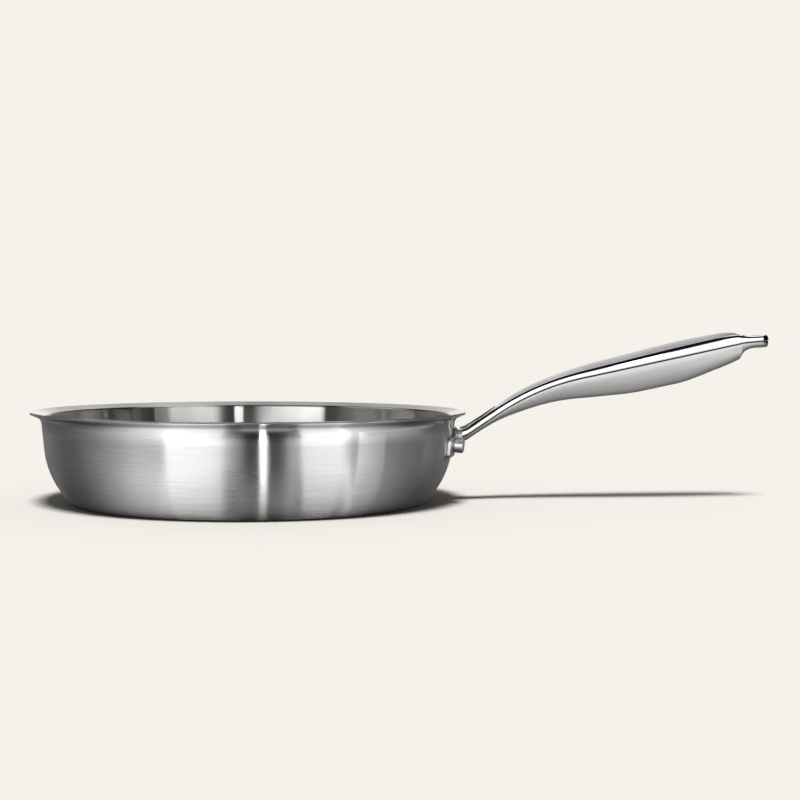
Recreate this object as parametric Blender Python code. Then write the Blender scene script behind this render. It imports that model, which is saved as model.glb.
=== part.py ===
"""Riveted frying pan: a three-layer pressed body and a hollow two-shell handle.

Metres, +Z up. The origin is the centre of the underside of the base, and the handle points along +X.
"""
import math

import bmesh
import bpy
from mathutils import Matrix, Vector

# Body, outer surface
RIM_DIAMETER = 0.2813
PAN_HEIGHT = 0.0595
LIP_REACH = 0.00695
LIP_SLOPE = math.radians(24.0)
LIP_BEND_RADIUS = 0.0022
WALL_DRAFT = math.radians(5.6)
WALL_RADIUS = 0.056
KNUCKLE_RADIUS = 0.0123
KNUCKLE_ANGLE = math.radians(48.5)

# Bonded layers, from the cooking surface outwards
INNER_PLY_THICKNESS = 0.0004
CORE_PLY_THICKNESS = 0.0008
OUTER_PLY_THICKNESS = 0.0004
BOND_GAP = 0.0001

# Gap between pieces that rest on each other
SEAT_GAP = 0.0003

# Rivets
RIVET_DROP = 0.0206
RIVET_SPACING = 0.0505
RIVET_SHANK_DIAMETER = 0.0050
RIVET_HOLE_CLEARANCE = 0.0003
RIVET_BOSS_DIAMETER = 0.0098
RIVET_BOSS_HEIGHT = 0.0057
RIVET_BOSS_ROUNDING = 0.0016
RIVET_INNER_HEAD_DIAMETER = 0.0130
RIVET_INNER_HEAD_HEIGHT = 0.0020
RIVET_INNER_HEAD_EDGE = 0.0005

# Bracket: a plate wrapped on the wall, a root block and a tang inside the stem
PLATE_WIDTH = 0.078
PLATE_THICKNESS = 0.0020
PLATE_END_ABOVE_RIVET = 0.0048
PLATE_END_BELOW_RIVET = 0.0080
PLATE_MIDDLE_ABOVE_RIVET = 0.0098
PLATE_SHOULDER_START = 0.0115
PLATE_SHOULDER_END = 0.0205
PLATE_CORNER_RADIUS = 0.0030
PLATE_EDGE_CHAMFER = 0.0007
ROOT_BLOCK_LENGTH = 0.0052
ROOT_BLOCK_START = 0.0010
ROOT_BLOCK_FLANK_SHARE = 0.6
ROOT_BLOCK_FOOT_SHARE = 0.5
TANG_LENGTH = 0.024
TANG_CLEARANCE = 0.0003

# Handle path: the seam line between the two shells, seen from the side
SEAM_ABOVE_RIVET = 0.0043
ROOT_RUN = 0.0063
ROOT_BEND_RADIUS = 0.010
STEM_SLOPE = math.radians(33.5)
STEM_RUN = 0.0485
SHOULDER_RADIUS = 0.157
GRIP_SLOPE = math.radians(12.3)
GRIP_RUN = 0.1365
TAB_BEND_RADIUS = 0.030
TAB_SLOPE = math.radians(5.0)
TAB_RUN = 0.0168
TAB_CORNER_RADIUS = 0.0055

# Handle sections at stations along the path, as lengths measured from the wall:
# reach, half width, height of the polished edge, crown of the top, depth of the belly
HANDLE_STATIONS = (
    (0.0040, 0.0100, 0.0050, -0.0010, 0.0042),
    (0.0180, 0.0094, 0.0046, -0.0013, 0.0043),
    (0.0270, 0.0094, 0.0045, -0.0009, 0.0050),
    (0.0340, 0.0098, 0.0042, 0.0009, 0.0063),
    (0.0460, 0.0106, 0.0040, 0.0017, 0.0086),
    (0.0690, 0.0118, 0.0041, 0.0020, 0.0118),
    (0.0950, 0.0127, 0.0049, 0.0030, 0.0153),
    (0.1260, 0.0132, 0.0060, 0.0032, 0.0181),
    (0.1480, 0.0131, 0.0066, 0.0032, 0.0181),
    (0.1730, 0.0120, 0.0068, 0.0025, 0.0146),
    (0.1840, 0.0112, 0.0063, 0.0015, 0.0125),
    (0.1893, 0.0106, 0.0051, 0.0003, 0.0111),
    (0.1925, 0.0102, 0.0040, 0.0001, 0.0066),
    (0.1965, 0.0098, 0.0036, 0.0001, 0.0050),
    (0.2092, 0.0092, 0.0035, 0.0001, 0.0047),
)

# Handle shells
SHELL_WALL = 0.0013
SHELL_SIDE_WALL = 0.0024
EDGE_BULGE = 0.0012
EDGE_TURN_START = math.radians(-70)
BELLY_INSET = 0.0005
HOLLOW_END_BEFORE_TAB = 0.010
HANG_HOLE_DIAMETER = 0.0080
HANG_HOLE_FROM_END = 0.0090
HANG_HOLE_CUT_DEPTH = 0.020

# Fineness of the faceted solids
TURN_SEGMENTS = 64
RIVET_SEGMENTS = 24
HANDLE_STEPS = 34
HOLLOW_STEPS = 26
PLATE_STEPS = 20
KNUCKLE_STEPS = 3
WALL_STEPS = 4
LIP_STEPS = 3
ROUNDING_STEPS = 4
EDGE_STEPS = 6
BELLY_STEPS = 12
HOLLOW_BELLY_STEPS = 8
BEND_STEPS = 12
TOP_SHARES = (0.7, 0.4, 0.0, -0.4, -0.7)
HOLLOW_TOP_SHARES = (1.0, 0.5, 0.0, -0.5, -1.0)
CORNER_TURN_END = math.radians(78)
SHARP_ANGLE = math.radians(35)

WALL_THICKNESS = INNER_PLY_THICKNESS + CORE_PLY_THICKNESS + OUTER_PLY_THICKNESS + 2 * BOND_GAP
RIM_RADIUS = RIM_DIAMETER / 2
RIVET_HEIGHT = PAN_HEIGHT - RIVET_DROP


def make_material(name, colour, roughness, metallic=1.0):
    """A plain metal finish."""
    material = bpy.data.materials.new(name)
    material.use_nodes = True
    shader = material.node_tree.nodes["Principled BSDF"]
    shader.inputs["Base Color"].default_value = (*colour, 1.0)
    shader.inputs["Roughness"].default_value = roughness
    shader.inputs["Metallic"].default_value = metallic
    return material


def add_object(name, bm, material=None):
    """Turn a bmesh into a named object with smooth faces and outward normals."""
    bmesh.ops.recalc_face_normals(bm, faces=bm.faces[:])
    mesh = bpy.data.meshes.new(name)
    bm.to_mesh(mesh)
    bm.free()
    mesh.shade_smooth()
    mesh.set_sharp_from_angle(angle=SHARP_ANGLE)
    item = bpy.data.objects.new(name, mesh)
    bpy.context.scene.collection.objects.link(item)
    if material:
        mesh.materials.append(material)
    return item


def make_cutter(item):
    """Mark an object as a guide for cuts only."""
    item.hide_render = True
    item.display_type = "WIRE"
    return item


def add_boolean(item, tool, operation="DIFFERENCE"):
    modifier = item.modifiers.new(tool.name, "BOOLEAN")
    modifier.operation = operation
    modifier.solver = "EXACT"
    modifier.object = tool


def arc_angles(start, end, steps):
    return [start + (end - start) * i / steps for i in range(steps + 1)]


def body_profile():
    """Key values of the outer surface, worked out from the rim down to the base."""
    tip_z = PAN_HEIGHT - WALL_THICKNESS * math.cos(LIP_SLOPE)
    neck_r = RIM_RADIUS - LIP_REACH
    neck_z = tip_z - LIP_REACH * math.tan(LIP_SLOPE)
    steep = math.pi / 2 - WALL_DRAFT
    arc_width = WALL_RADIUS * (math.sin(steep) - math.sin(KNUCKLE_ANGLE))
    arc_height = WALL_RADIUS * (math.cos(KNUCKLE_ANGLE) - math.cos(steep))
    knuckle_width = KNUCKLE_RADIUS * math.sin(KNUCKLE_ANGLE)
    knuckle_height = KNUCKLE_RADIUS * (1 - math.cos(KNUCKLE_ANGLE))
    straight_z = knuckle_height + arc_height
    straight_r = neck_r - (neck_z - straight_z) * math.tan(WALL_DRAFT)
    base_r = straight_r - arc_width - knuckle_width
    return tip_z, neck_r, neck_z, steep, straight_r, straight_z, base_r


def surface_points(depth):
    """Points (r, z) of the surface that lies this depth inside the outer one, from base to lip tip."""
    tip_z, neck_r, neck_z, steep, straight_r, straight_z, base_r = body_profile()
    points = []
    for angle in arc_angles(0.0, KNUCKLE_ANGLE, KNUCKLE_STEPS):
        radius = KNUCKLE_RADIUS - depth
        points.append((base_r + radius * math.sin(angle), KNUCKLE_RADIUS - radius * math.cos(angle)))
    wall_centre_r = straight_r - WALL_RADIUS * math.sin(steep)
    wall_centre_z = straight_z + WALL_RADIUS * math.cos(steep)
    for angle in arc_angles(KNUCKLE_ANGLE, steep, WALL_STEPS)[1:]:
        radius = WALL_RADIUS - depth
        points.append((wall_centre_r + radius * math.sin(angle), wall_centre_z - radius * math.cos(angle)))
    turn = steep - LIP_SLOPE
    tangent = LIP_BEND_RADIUS * math.tan(turn / 2)
    bend_r = neck_r - tangent * math.cos(steep) + LIP_BEND_RADIUS * math.sin(steep)
    bend_z = neck_z - tangent * math.sin(steep) - LIP_BEND_RADIUS * math.cos(steep)
    for angle in arc_angles(steep, LIP_SLOPE, LIP_STEPS):
        radius = LIP_BEND_RADIUS + depth
        points.append((bend_r - radius * math.sin(angle), bend_z + radius * math.cos(angle)))
    points.append((RIM_RADIUS - depth * math.sin(LIP_SLOPE), tip_z + depth * math.cos(LIP_SLOPE)))
    return points


def wall_radius_at(height):
    """Radius of the outer surface on the wall at a height."""
    points = surface_points(0.0)
    for (r0, z0), (r1, z1) in zip(points, points[1:]):
        if z0 <= height <= z1:
            return r0 + (r1 - r0) * (height - z0) / (z1 - z0)
    return points[-1][0]


def add_turned_shell(name, outer_depth, inner_depth, material):
    """One bonded layer: a bowl-shaped sheet turned about the Z axis."""
    outer = surface_points(outer_depth)
    inner = surface_points(inner_depth)
    loop = outer + inner[::-1]
    bm = bmesh.new()
    rings = []
    for r, z in loop:
        ring = []
        for i in range(TURN_SEGMENTS):
            angle = 2 * math.pi * i / TURN_SEGMENTS
            ring.append(bm.verts.new((r * math.cos(angle), r * math.sin(angle), z)))
        rings.append(ring)
    for lower, upper in zip(rings, rings[1:]):
        join_rings(bm, lower, upper)
    bm.faces.new(rings[0])
    bm.faces.new(rings[-1][::-1])
    return add_object(name, bm, material)


def join_rings(bm, first, second):
    """Bridge two closed rings of the same count with four-sided faces."""
    count = len(first)
    for i in range(count):
        j = (i + 1) % count
        bm.faces.new((first[i], first[j], second[j], second[i]))


def loft(name, sections, material=None):
    """A closed solid through a row of point rings, capped at both ends."""
    bm = bmesh.new()
    rings = [[bm.verts.new(point) for point in section] for section in sections]
    for first, second in zip(rings, rings[1:]):
        join_rings(bm, first, second)
    bm.faces.new(rings[0][::-1])
    bm.faces.new(rings[-1])
    return add_object(name, bm, material)


def rivet_frame(side):
    """Place on the outer wall under a rivet, with local Z along the rivet, pointing outwards."""
    radius = wall_radius_at(RIVET_HEIGHT)
    around = side * RIVET_SPACING / 2 / radius
    origin = Vector((radius * math.cos(around), radius * math.sin(around), RIVET_HEIGHT))
    tilt = math.pi / 2 + WALL_DRAFT
    return Matrix.Translation(origin) @ Matrix.Rotation(around, 4, "Z") @ Matrix.Rotation(tilt, 4, "Y")


def turned_solid(name, profile, material=None):
    """A solid turned about the local Z axis from points (r, z) between its two poles."""
    bm = bmesh.new()
    start = bm.verts.new((0.0, 0.0, profile[0][1]))
    end = bm.verts.new((0.0, 0.0, profile[-1][1]))
    rings = []
    for r, z in profile[1:-1]:
        ring = []
        for i in range(RIVET_SEGMENTS):
            angle = 2 * math.pi * i / RIVET_SEGMENTS
            ring.append(bm.verts.new((r * math.cos(angle), r * math.sin(angle), z)))
        rings.append(ring)
    for lower, upper in zip(rings, rings[1:]):
        join_rings(bm, lower, upper)
    for i in range(RIVET_SEGMENTS):
        j = (i + 1) % RIVET_SEGMENTS
        bm.faces.new((start, rings[0][j], rings[0][i]))
        bm.faces.new((end, rings[-1][i], rings[-1][j]))
    return add_object(name, bm, material)


def rivet_profile():
    """Inner low-dome head, shank and tall outer boss, along the rivet's axis from the outer wall."""
    wall_radius = wall_radius_at(RIVET_HEIGHT)
    facet_sag = wall_radius * (1 - math.cos(math.pi / TURN_SEGMENTS))
    head_r = RIVET_INNER_HEAD_DIAMETER / 2
    head_sag = head_r ** 2 / (2 * (wall_radius - WALL_THICKNESS))
    seat_in = -(WALL_THICKNESS + SEAT_GAP + facet_sag + head_sag)
    seat_out = SEAT_GAP + PLATE_THICKNESS + SEAT_GAP
    shank_r = RIVET_SHANK_DIAMETER / 2
    boss_r = RIVET_BOSS_DIAMETER / 2
    boss_top = seat_out + RIVET_BOSS_HEIGHT
    dome = RIVET_INNER_HEAD_HEIGHT - RIVET_INNER_HEAD_EDGE
    points = [(0.0, seat_in - RIVET_INNER_HEAD_HEIGHT)]
    for angle in arc_angles(0.0, math.pi / 2, ROUNDING_STEPS)[1:]:
        drop = RIVET_INNER_HEAD_EDGE + dome * math.cos(angle)
        points.append((head_r * math.sin(angle), seat_in - drop))
    points.append((head_r, seat_in))
    points.append((shank_r, seat_in))
    points.append((shank_r, seat_out))
    points.append((boss_r, seat_out))
    for angle in arc_angles(0.0, math.pi / 2, ROUNDING_STEPS):
        points.append((boss_r - RIVET_BOSS_ROUNDING * (1 - math.cos(angle)),
                       boss_top - RIVET_BOSS_ROUNDING * (1 - math.sin(angle))))
    points.append((0.0, boss_top))
    return points


def add_rivet(name, side, material):
    item = turned_solid(name, rivet_profile(), material)
    item.matrix_world = rivet_frame(side)
    return item


def add_rivet_hole_cutter(name, side):
    radius = RIVET_SHANK_DIAMETER / 2 + RIVET_HOLE_CLEARANCE
    reach = RIVET_BOSS_HEIGHT + PLATE_THICKNESS
    item = turned_solid(name, [(0.0, -reach), (radius, -reach), (radius, reach), (0.0, reach)])
    item.matrix_world = rivet_frame(side)
    return make_cutter(item)


def smooth_step(value):
    value = min(1.0, max(0.0, value))
    return value * value * (3 - 2 * value)


def plate_limits(along):
    """Lowest and highest point of the bracket plate at a distance along the wall from its middle."""
    along = abs(along)
    fall = smooth_step((along - PLATE_SHOULDER_START) / (PLATE_SHOULDER_END - PLATE_SHOULDER_START))
    drop = fall * (PLATE_MIDDLE_ABOVE_RIVET - PLATE_END_ABOVE_RIVET)
    past_corner = max(0.0, along - (PLATE_WIDTH / 2 - PLATE_CORNER_RADIUS))
    inset = PLATE_CORNER_RADIUS - math.sqrt(max(0.0, PLATE_CORNER_RADIUS ** 2 - past_corner ** 2))
    low = RIVET_HEIGHT - PLATE_END_BELOW_RIVET + inset
    high = RIVET_HEIGHT + PLATE_MIDDLE_ABOVE_RIVET - drop - inset
    return low, high


def add_bracket(material):
    """The plate on the wall, with a root block that carries the stem and a tang that runs up inside it."""
    half = PLATE_WIDTH / 2
    inner_half = half - PLATE_CORNER_RADIUS
    places = [-inner_half + 2 * inner_half * i / PLATE_STEPS for i in range(PLATE_STEPS + 1)]
    turn = arc_angles(0.0, CORNER_TURN_END, ROUNDING_STEPS)[1:]
    corner = [inner_half + PLATE_CORNER_RADIUS * math.sin(angle) for angle in turn]
    places = [-place for place in corner[::-1]] + places + corner
    reference = wall_radius_at(RIVET_HEIGHT)
    sections = []
    for place in places:
        low, high = plate_limits(place)
        middle = (low + high) / 2
        edge = PLATE_EDGE_CHAMFER
        depth = PLATE_THICKNESS
        outline = [(0.0, low), (0.0, middle), (0.0, high), (depth - edge, high),
                   (depth, high - edge), (depth, middle), (depth, low + edge), (depth - edge, low)]
        section = []
        for out, height in outline:
            radius = wall_radius_at(height) + SEAT_GAP + out
            angle = place / reference
            section.append((radius * math.cos(angle), radius * math.sin(angle), height))
        sections.append(section)
    plate = loft("handle_bracket", sections, material)
    root = make_cutter(loft("bracket_root_guide", root_sections()))
    tang = make_cutter(loft("bracket_tang_guide", tang_sections()))
    add_boolean(plate, root, "UNION")
    add_boolean(plate, tang, "UNION")
    return plate


def wall_reach():
    """Where the reach of the handle is measured from: the outer wall at the seam's height."""
    return wall_radius_at(RIVET_HEIGHT + SEAM_ABOVE_RIVET)


def path_corners():
    """Corners of the seam line as (reach, height), before they are rounded."""
    corners = [(0.0, RIVET_HEIGHT + SEAM_ABOVE_RIVET)]
    runs = ((ROOT_RUN, 0.0), (STEM_RUN, STEM_SLOPE), (GRIP_RUN, GRIP_SLOPE), (TAB_RUN, TAB_SLOPE))
    for run, slope in runs:
        x, z = corners[-1]
        corners.append((x + run, z + run * math.tan(slope)))
    return corners


def handle_reach():
    return path_corners()[-1][0]


def rounded_path():
    """The seam line with an arc at each corner, as a fine row of points."""
    corners = [Vector(point) for point in path_corners()]
    radii = (ROOT_BEND_RADIUS, SHOULDER_RADIUS, TAB_BEND_RADIUS)
    points = [corners[0]]
    for before, corner, after, radius in zip(corners, corners[1:], corners[2:], radii):
        towards = (before - corner).normalized()
        away = (after - corner).normalized()
        half_turn = (math.pi - towards.angle(away)) / 2
        reach = radius * math.tan(half_turn)
        start = corner + towards * reach
        end = corner + away * reach
        for i in range(BEND_STEPS + 1):
            t = i / BEND_STEPS
            points.append(start * (1 - t) ** 2 + corner * 2 * t * (1 - t) + end * t ** 2)
    points.append(corners[-1])
    return points


def seam_height(reach):
    points = rounded_path()
    for first, second in zip(points, points[1:]):
        if first.x <= reach <= second.x:
            share = (reach - first.x) / max(second.x - first.x, 1e-9)
            return first.y + (second.y - first.y) * share
    return points[-1].y


def station_values(reach):
    """Section sizes at a reach, on a smooth curve through the stations that never overshoots."""
    rows = HANDLE_STATIONS
    if reach <= rows[0][0]:
        return rows[0][1:]
    for k in range(len(rows) - 1):
        if reach <= rows[k + 1][0]:
            return tuple(monotone_value(k, column, reach) for column in range(1, len(rows[0])))
    return rows[-1][1:]


def station_slope(k, column):
    """Slope of one section size at a station, zero at a peak."""
    rows = HANDLE_STATIONS
    if k == 0 or k == len(rows) - 1:
        return 0.0
    before = (rows[k][column] - rows[k - 1][column]) / (rows[k][0] - rows[k - 1][0])
    after = (rows[k + 1][column] - rows[k][column]) / (rows[k + 1][0] - rows[k][0])
    if before * after <= 0:
        return 0.0
    return 2 * before * after / (before + after)


def monotone_value(k, column, reach):
    rows = HANDLE_STATIONS
    x0, x1 = rows[k][0], rows[k + 1][0]
    y0, y1 = rows[k][column], rows[k + 1][column]
    width = x1 - x0
    t = (reach - x0) / width
    m0, m1 = station_slope(k, column) * width, station_slope(k + 1, column) * width
    first = (2 * t ** 3 - 3 * t ** 2 + 1) * y0 + (t ** 3 - 2 * t ** 2 + t) * m0
    return first + (3 * t ** 2 - 2 * t ** 3) * y1 + (t ** 3 - t ** 2) * m1


def section_sizes(reach):
    """Half width, edge height, crown and belly depth, with the tab's rounded corners."""
    half, edge, crown, belly = station_values(reach)
    past = reach - (handle_reach() - TAB_CORNER_RADIUS)
    if past > 0:
        past = min(past, TAB_CORNER_RADIUS)
        half -= TAB_CORNER_RADIUS - math.sqrt(TAB_CORNER_RADIUS ** 2 - past ** 2)
    return half, edge, crown, belly


def top_offset(across, half, edge, crown):
    """Height of the top surface above the seam, at a share of the half width."""
    return edge + crown * (1 - (across / (half - EDGE_BULGE)) ** 2)


def upper_section(reach):
    half, edge, crown, belly = section_sizes(reach)
    base = half - EDGE_BULGE
    side = []
    for angle in arc_angles(EDGE_TURN_START, math.pi / 2, EDGE_STEPS):
        side.append((base + EDGE_BULGE * math.cos(angle), edge / 2 + edge / 2 * math.sin(angle)))
    top = []
    for share in TOP_SHARES:
        top.append((base * share, top_offset(base * share, half, edge, crown)))
    ring = [(base - EDGE_BULGE, 0.0)] + side + top + [(-y, z) for y, z in side[::-1]]
    ring.append((EDGE_BULGE - base, 0.0))
    return place_section(reach, ring)


def lower_section(reach):
    half, edge, crown, belly = section_sizes(reach)
    width = half - EDGE_BULGE + BELLY_INSET
    ring = [(width, -SEAT_GAP)]
    for angle in arc_angles(0.0, math.pi, BELLY_STEPS)[1:-1]:
        ring.append((width * math.cos(angle), -SEAT_GAP - (belly - SEAT_GAP) * math.sin(angle)))
    ring.append((-width, -SEAT_GAP))
    return place_section(reach, ring)


def place_section(reach, ring):
    """Put a section of (across, height) points in the upright plane at a reach."""
    x = wall_reach() + reach
    seam = seam_height(reach)
    return [(x, across, seam + height) for across, height in ring]


def hollow_section(reach, clearance=0.0):
    """The space inside both shells, drawn in by a clearance on every side."""
    half, edge, crown, belly = section_sizes(reach)
    width = half - SHELL_SIDE_WALL - clearance
    wall = SHELL_WALL + clearance
    ring = []
    for share in HOLLOW_TOP_SHARES:
        ring.append((width * share, top_offset(width * share, half, edge, crown) - wall))
    for angle in arc_angles(math.pi, 2 * math.pi, HOLLOW_BELLY_STEPS)[1:-1]:
        ring.append((width * math.cos(angle), (belly - wall) * math.sin(angle)))
    return place_section(reach, ring)


def reaches(start, end, steps):
    """Places of the sections, with every station between the ends kept."""
    places = {start, end}
    for i in range(1, steps):
        places.add(start + (end - start) * i / steps)
    spacing = (end - start) / steps
    for station in HANDLE_STATIONS:
        if start + spacing / 2 < station[0] < end - spacing / 2:
            places = {p for p in places if p in (start, end) or abs(p - station[0]) > spacing / 2}
            places.add(station[0])
    return sorted(places)


def shell_reaches():
    """Section places of the two shells, closer together on the tab's rounded corners."""
    end = handle_reach()
    turn = [end - TAB_CORNER_RADIUS * (1 - math.sin(a)) for a in arc_angles(0.0, CORNER_TURN_END, ROUNDING_STEPS)]
    return reaches(ROOT_BLOCK_LENGTH + SEAT_GAP, end - TAB_CORNER_RADIUS, HANDLE_STEPS)[:-1] + turn


def root_sections():
    """A block from inside the plate to the start of the shells, with the stem's own section."""
    sections = []
    middle = (ROOT_BLOCK_START + ROOT_BLOCK_LENGTH) / 2
    for reach in (ROOT_BLOCK_START, middle, ROOT_BLOCK_LENGTH):
        half, edge, crown, belly = section_sizes(reach)
        base = half - EDGE_BULGE
        foot = base * ROOT_BLOCK_FOOT_SHARE
        flank = belly * ROOT_BLOCK_FLANK_SHARE
        ring = [(base, edge), (-base, edge), (-half, edge / 2), (-base, -flank)]
        ring += [(-foot, -belly), (foot, -belly), (base, -flank), (half, edge / 2)]
        sections.append(place_section(reach, ring))
    return sections


def hollow_reaches():
    """Section places of the hollow, which the tang shares so that their faces run parallel."""
    end = handle_reach() - TAB_RUN - HOLLOW_END_BEFORE_TAB
    return reaches(ROOT_BLOCK_LENGTH - SEAT_GAP, end, HOLLOW_STEPS)


def tang_sections():
    places = [reach for reach in hollow_reaches() if reach <= ROOT_BLOCK_LENGTH + TANG_LENGTH]
    return [hollow_section(reach, TANG_CLEARANCE) for reach in places]


def add_hollow_cutter():
    return make_cutter(loft("handle_hollow_guide", [hollow_section(reach) for reach in hollow_reaches()]))


def add_hang_hole_cutter():
    radius = HANG_HOLE_DIAMETER / 2
    reach = handle_reach() - HANG_HOLE_FROM_END
    depth = HANG_HOLE_CUT_DEPTH / 2
    item = turned_solid("hang_hole_guide", [(0.0, -depth), (radius, -depth), (radius, depth), (0.0, depth)])
    place = Vector((wall_reach() + reach, 0.0, seam_height(reach)))
    item.matrix_world = Matrix.Translation(place) @ Matrix.Rotation(-TAB_SLOPE, 4, "Y")
    return make_cutter(item)


def main():
    for item in list(bpy.data.objects):
        bpy.data.objects.remove(item, do_unlink=True)

    titanium = make_material("titanium", (0.56, 0.55, 0.53), 0.32)
    aluminium = make_material("aluminium", (0.80, 0.80, 0.80), 0.35)
    brushed_steel = make_material("brushed_steel", (0.60, 0.60, 0.59), 0.27)
    polished_steel = make_material("polished_steel", (0.68, 0.68, 0.68), 0.07)
    satin_steel = make_material("satin_steel", (0.58, 0.58, 0.57), 0.38)

    core_depth = OUTER_PLY_THICKNESS + BOND_GAP
    inner_depth = core_depth + CORE_PLY_THICKNESS + BOND_GAP
    layers = [
        add_turned_shell("pan_outer_ply", 0.0, OUTER_PLY_THICKNESS, brushed_steel),
        add_turned_shell("pan_core_ply", core_depth, core_depth + CORE_PLY_THICKNESS, aluminium),
        add_turned_shell("pan_inner_ply", inner_depth, inner_depth + INNER_PLY_THICKNESS, titanium),
    ]
    bracket = add_bracket(polished_steel)
    for name, side in (("front", -1), ("rear", 1)):
        cutter = add_rivet_hole_cutter("rivet_hole_guide_" + name, side)
        for item in layers + [bracket]:
            add_boolean(item, cutter)
        add_rivet("rivet_" + name, side, polished_steel)

    upper = loft("handle_upper_shell", [upper_section(reach) for reach in shell_reaches()], polished_steel)
    lower = loft("handle_lower_shell", [lower_section(reach) for reach in shell_reaches()], satin_steel)
    hollow = add_hollow_cutter()
    hang_hole = add_hang_hole_cutter()
    for item in (upper, lower):
        add_boolean(item, hollow)
        add_boolean(item, hang_hole)


main()
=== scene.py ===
"""Visual model of a riveted three-layer frying pan with a hollow handle.

Laid out as an add-on and run as a script. Metres, +Z up, origin at the centre of the base's underside.
"""

import math

import bmesh
import bpy
from bpy.props import FloatProperty, IntProperty, PointerProperty, StringProperty
from mathutils import Matrix, Vector


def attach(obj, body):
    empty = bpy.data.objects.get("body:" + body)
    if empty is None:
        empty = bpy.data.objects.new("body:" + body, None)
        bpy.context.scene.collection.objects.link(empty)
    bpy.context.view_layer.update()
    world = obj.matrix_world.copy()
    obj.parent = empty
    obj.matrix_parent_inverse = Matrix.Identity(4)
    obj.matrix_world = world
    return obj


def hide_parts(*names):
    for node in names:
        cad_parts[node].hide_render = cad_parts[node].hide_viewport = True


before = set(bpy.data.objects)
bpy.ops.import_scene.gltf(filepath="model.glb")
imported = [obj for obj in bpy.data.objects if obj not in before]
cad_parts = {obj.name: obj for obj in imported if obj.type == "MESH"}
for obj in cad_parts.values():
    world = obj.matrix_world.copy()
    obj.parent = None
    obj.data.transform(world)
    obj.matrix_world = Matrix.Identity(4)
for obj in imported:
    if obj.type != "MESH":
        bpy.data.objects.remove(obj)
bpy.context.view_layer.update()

bl_info = {
    "name": "Riveted Frying Pan",
    "version": (1, 0, 0),
    "blender": (4, 5, 0),
    "location": "3D View > Sidebar > Frying Pan",
    "description": "Builds a three-layer frying pan with a hollow riveted handle, on a pale studio floor",
    "category": "Add Mesh",
}

# Handle sections at stations along its path, as lengths measured from the wall:
# reach, half width, height of the polished edge, crown of the top, depth of the belly
HANDLE_STATIONS = (
    (0.0040, 0.0100, 0.0050, -0.0010, 0.0042),
    (0.0180, 0.0094, 0.0046, -0.0013, 0.0043),
    (0.0270, 0.0094, 0.0045, -0.0009, 0.0050),
    (0.0340, 0.0098, 0.0042, 0.0009, 0.0063),
    (0.0460, 0.0106, 0.0040, 0.0017, 0.0086),
    (0.0690, 0.0118, 0.0041, 0.0020, 0.0118),
    (0.0950, 0.0127, 0.0049, 0.0030, 0.0153),
    (0.1260, 0.0132, 0.0060, 0.0032, 0.0181),
    (0.1480, 0.0131, 0.0066, 0.0032, 0.0181),
    (0.1730, 0.0120, 0.0068, 0.0025, 0.0146),
    (0.1840, 0.0112, 0.0063, 0.0015, 0.0125),
    (0.1889, 0.0106, 0.0052, 0.0003, 0.0112),
    (0.1893, 0.0106, 0.0051, 0.0003, 0.0111),
    (0.1897, 0.0105, 0.0049, 0.0003, 0.0104),
    (0.1925, 0.0102, 0.0040, 0.0001, 0.0066),
    (0.1965, 0.0098, 0.0036, 0.0001, 0.0050),
    (0.2092, 0.0092, 0.0035, 0.0001, 0.0047),
)
# The satin top of the grip ends this far before the tab
SATIN_STOP = 0.0030


def linear(code):
    """Turn an sRGB hex colour into linear values."""
    values = []
    for i in (1, 3, 5):
        part = int(code[i:i + 2], 16) / 255
        values.append(part / 12.92 if part <= 0.04045 else ((part + 0.055) / 1.055) ** 2.4)
    return (*values, 1.0)


def length(name, text, default):
    """A length in metres for a settings group."""
    return FloatProperty(name=name, description=text, default=default, min=0.0, unit="LENGTH", precision=5)


def angle(name, text, degrees):
    """An angle for a settings group."""
    return FloatProperty(name=name, description=text, default=math.radians(degrees), unit="ROTATION")


def colour(name, text, code):
    """An sRGB hex colour for a settings group."""
    return StringProperty(name=name, description=text, default=code)


def number(name, text, default):
    """A plain number for a settings group."""
    return FloatProperty(name=name, description=text, default=default)


def whole_number(name, text, default, least):
    """A whole number for a settings group."""
    return IntProperty(name=name, description=text, default=default, min=least)


class PanBowlSettings(bpy.types.PropertyGroup):
    """Sizes and colours of the pressed bowl."""

    rim_diameter: length("Rim diameter", "Across the flared lip", 0.2813)
    height: length("Height", "From the base to the top of the lip", 0.0595)
    lip_reach: length("Lip reach", "How far the lip flares past the wall", 0.00695)
    lip_slope: angle("Lip slope", "Rise of the lip", 18.0)
    lip_bend: length("Lip bend", "Radius of the bend under the lip", 0.0052)
    lip_crest: length("Lip crest", "Radius of the bend inside the bowl, where it meets the lip", 0.0015)
    wall_draft: angle("Wall draft", "Lean of the wall", 5.6)
    wall_radius: length("Wall radius", "Radius of the large lower curve", 0.056)
    knuckle_radius: length("Knuckle radius", "Radius of the small curve at the base", 0.0123)
    knuckle_angle: angle("Knuckle angle", "Turn of the small curve", 48.5)
    skin: length("Skin thickness", "Thickness of the steel and of the titanium layer", 0.00045)
    core: length("Core thickness", "Thickness of the aluminium layer", 0.00090)
    edge_rounding: length("Edge rounding", "Rounding of the lip's ground edge", 0.00022)
    lip_share: number("Lip share", "Thickness taken off the lip at its ground tip", 0.16)
    segments: whole_number("Segments", "Faces round the bowl", 256, 48)
    steel: colour("Steel", "Outer skin", "#C6C6C5")
    aluminium: colour("Aluminium", "Core", "#A2A2A0")
    titanium: colour("Titanium", "Cooking surface", "#C0BFBD")


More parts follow.
